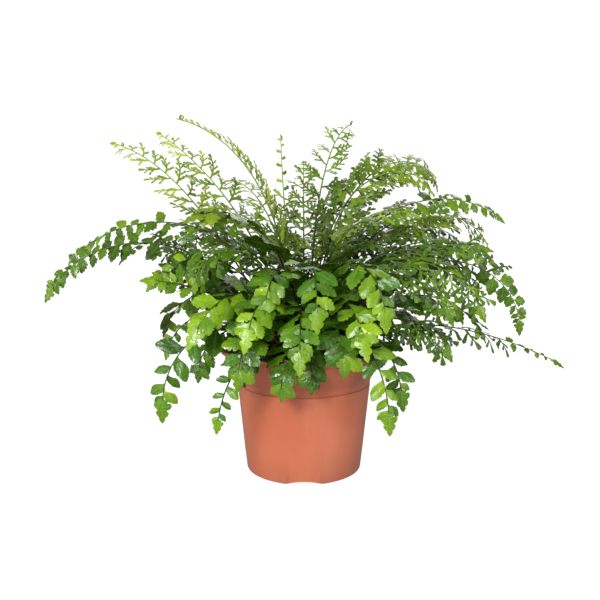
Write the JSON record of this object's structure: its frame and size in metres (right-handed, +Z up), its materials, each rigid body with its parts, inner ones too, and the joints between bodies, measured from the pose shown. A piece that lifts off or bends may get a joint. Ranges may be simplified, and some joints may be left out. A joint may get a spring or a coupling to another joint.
{
  "type": "potted fern",
  "caption": "Glossy spleenwort fern with arching pinnate fronds spreading all round from a crown in potting mix, standing in a round tapered plastic nursery pot with a flared rim",
  "frame": {"origin": "on the pot's axis, on the flat underside that the pot rests on", "axes": "+Z up, +X to the right along the plant's widest spread as seen from the front, -Y to the front"},
  "size_m": [0.3714, 0.26, 0.27],
  "materials": {
    "pot_plastic": "terracotta-coloured moulded polypropylene with a soft sheen",
    "potting_mix": "crumbly dark peat and bark potting mix",
    "crown_fibre": "dark brown scaly rhizome crown with fibrous hairs",
    "leaf_green": "glossy mid green leaflets with fine veins, dark stem below",
    "leaf_deep_green": "glossy deep green leaflets with a grey sheen on old fronds",
    "leaf_light_green": "satin light green young leaflets on a green rib"
  },
  "bodies": {
    "root": {"pot": "pot_plastic", "potting_mix": "potting_mix", "crown": "crown_fibre", "frond_upright_right_low": "leaf_light_green", "frond_upright_right_arch": "leaf_light_green", "frond_upright_right_tall": "leaf_light_green", "frond_upright_right_wide": "leaf_light_green", "frond_upright_back": "leaf_light_green", "frond_upright_centre": "leaf_light_green", "frond_upright_back_left": "leaf_light_green", "frond_upright_left_tall": "leaf_light_green", "frond_upright_left_wide": "leaf_light_green", "frond_upright_left_high": "leaf_light_green", "frond_upright_left_front": "leaf_light_green", "frond_upright_right_front": "leaf_light_green", "frond_arch_left_upper": "leaf_deep_green", "frond_arch_left_lower": "leaf_deep_green", "frond_arch_left_near": "leaf_green", "frond_arch_left_short": "leaf_deep_green", "frond_arch_left_front": "leaf_green", "frond_arch_left_inner": "leaf_deep_green", "frond_arch_front_left": "leaf_green", "frond_arch_front": "leaf_green", "frond_arch_front_right": "leaf_green", "frond_arch_right_front": "leaf_deep_green", "frond_arch_right_low": "leaf_deep_green", "frond_arch_right_near": "leaf_deep_green", "frond_arch_right_mid": "leaf_deep_green", "frond_arch_right_far": "leaf_deep_green", "frond_arch_right_drooping": "leaf_deep_green", "frond_arch_right_upper": "leaf_deep_green", "frond_arch_back_1": "leaf_deep_green", "frond_arch_back_2": "leaf_deep_green", "frond_arch_back_3": "leaf_deep_green", "frond_arch_back_4": "leaf_deep_green", "frond_arch_back_5": "leaf_deep_green", "frond_mid_front_left": "leaf_green", "frond_mid_front": "leaf_green", "frond_mid_front_centre": "leaf_green", "frond_mid_front_right": "leaf_green", "frond_mid_back_right": "leaf_green", "frond_mid_back_left": "leaf_green", "frond_low_right_long": "leaf_deep_green", "frond_low_right_inner": "leaf_deep_green", "frond_low_front_right_side": "leaf_green", "frond_low_front_right_long": "leaf_green", "frond_low_front_right": "leaf_green", "frond_low_front": "leaf_green", "frond_low_front_left": "leaf_green", "frond_low_left_bright": "leaf_green", "frond_low_left_over_rim": "leaf_green", "frond_low_left_long": "leaf_green", "frond_low_left_inner": "leaf_green", "frond_low_left_side": "leaf_green", "frond_low_back_1": "leaf_green", "frond_low_back_2": "leaf_green", "frond_low_back_3": "leaf_green", "frond_low_back_4": "leaf_green", "frond_low_back_5": "leaf_green", "frond_low_back_6": "leaf_green"}
  },
  "joints": []
}
